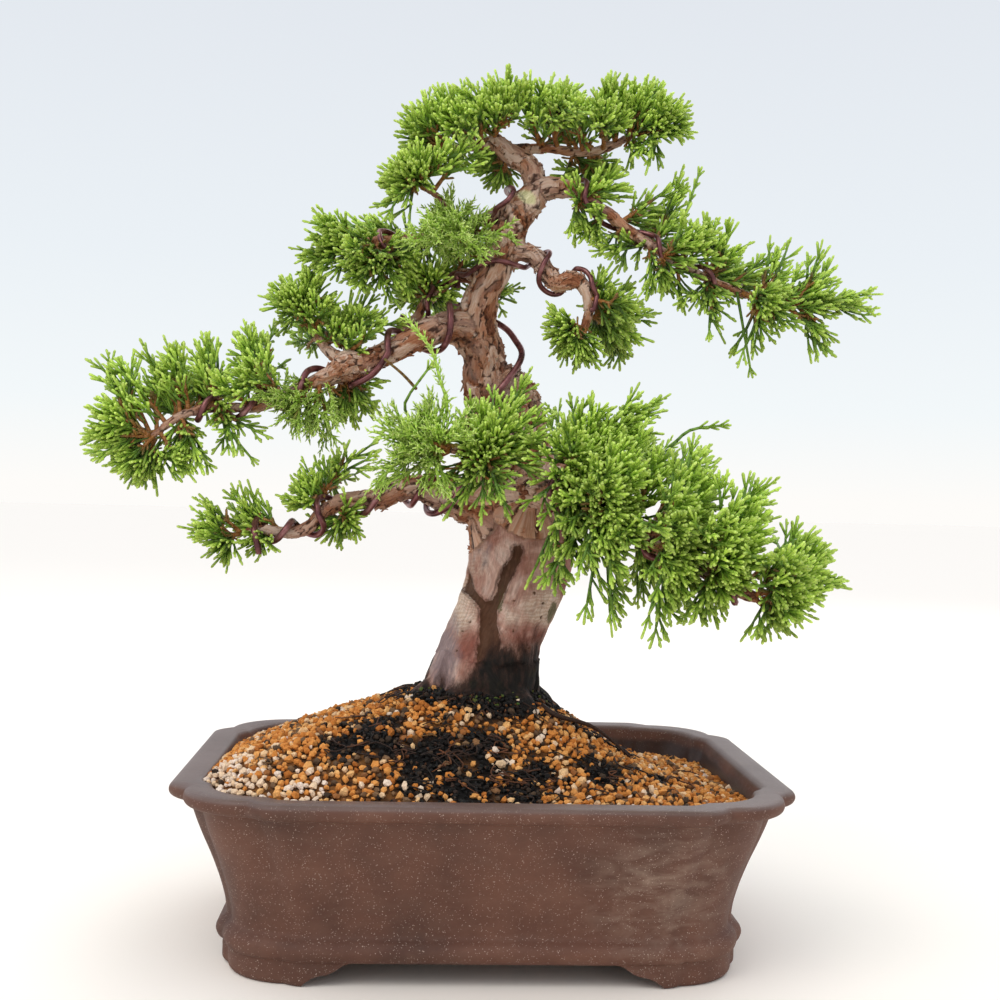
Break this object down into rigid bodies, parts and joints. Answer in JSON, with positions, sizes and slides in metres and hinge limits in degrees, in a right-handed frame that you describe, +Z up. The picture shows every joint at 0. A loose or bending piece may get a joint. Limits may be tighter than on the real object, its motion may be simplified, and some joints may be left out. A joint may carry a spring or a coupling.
{
  "type": "potted bonsai tree",
  "caption": "Juniper bonsai with thread-like scale foliage and wired branches, in an oblong unglazed stoneware pot with lobed corners, belt and feet, on a mound of baked-clay grains.",
  "frame": {"origin": "centre of the bounding box at the level of the pot's feet", "axes": "+Z up, +X to the right along the pot's long side, -Y towards the front that the picture shows"},
  "size_m": [0.3444, 0.2668, 0.3788],
  "materials": {
    "stoneware": "matte, unglazed, fine pale specks",
    "baked_clay": "matte, grainy",
    "bark": "flaky bark, smoother at the foot",
    "anodised_wire": "copper-brown anodised, satin",
    "mesh_plastic": "matte black",
    "leaf": "satin green, lighter at the tips"
  },
  "bodies": {
    "root": {"pot": "stoneware", "drain_screen_left": "mesh_plastic", "drain_screen_right": "mesh_plastic", "soil": "baked_clay", "tree_wood": "bark", "wire_left_main": "anodised_wire", "wire_middle": "anodised_wire", "wire_upper": "anodised_wire", "wire_lower_left": "anodised_wire", "wire_lower_right": "anodised_wire", "foliage_apex_tip": "leaf", "foliage_apex_left_end": "leaf", "foliage_apex_left_mid": "leaf", "foliage_apex_right_near": "leaf", "foliage_apex_right_mid": "leaf", "foliage_apex_under": "leaf", "foliage_apex_right_high": "leaf", "foliage_apex_right_end": "leaf", "foliage_crown_under": "leaf", "foliage_tuft_high": "leaf", "foliage_tuft_front": "leaf", "foliage_upper_left_end": "leaf", "foliage_upper_left_drop": "leaf", "foliage_upper_left_back": "leaf", "foliage_left_rise": "leaf", "foliage_left_rise_near": "leaf", "foliage_left_drop_front": "leaf", "foliage_left_drop": "leaf", "foliage_left_crest": "leaf", "foliage_far_left_crest": "leaf", "foliage_far_left_high": "leaf", "foliage_far_left_end": "leaf", "foliage_far_left_drop": "leaf", "foliage_mid_left_twig": "leaf", "foliage_leader_back": "leaf", "foliage_lower_left_crest": "leaf", "foliage_lower_left_under": "leaf", "foliage_lower_left_end": "leaf", "foliage_lower_left_tip": "leaf", "foliage_droop_left": "leaf", "foliage_droop_right": "leaf", "foliage_right_near": "leaf", "foliage_right_first": "leaf", "foliage_right_second": "leaf", "foliage_right_third": "leaf", "foliage_right_fourth": "leaf", "foliage_right_end": "leaf", "foliage_mass_high": "leaf", "foliage_mass_front": "leaf", "foliage_mass_back": "leaf", "foliage_mass_mid": "leaf", "foliage_mass_right": "leaf", "foliage_mass_end": "leaf", "foliage_front_left": "leaf", "foliage_front_mid": "leaf", "foliage_back_left": "leaf", "foliage_back_mid": "leaf", "foliage_back_end": "leaf", "foliage_high_back": "leaf"}
  },
  "joints": []
}
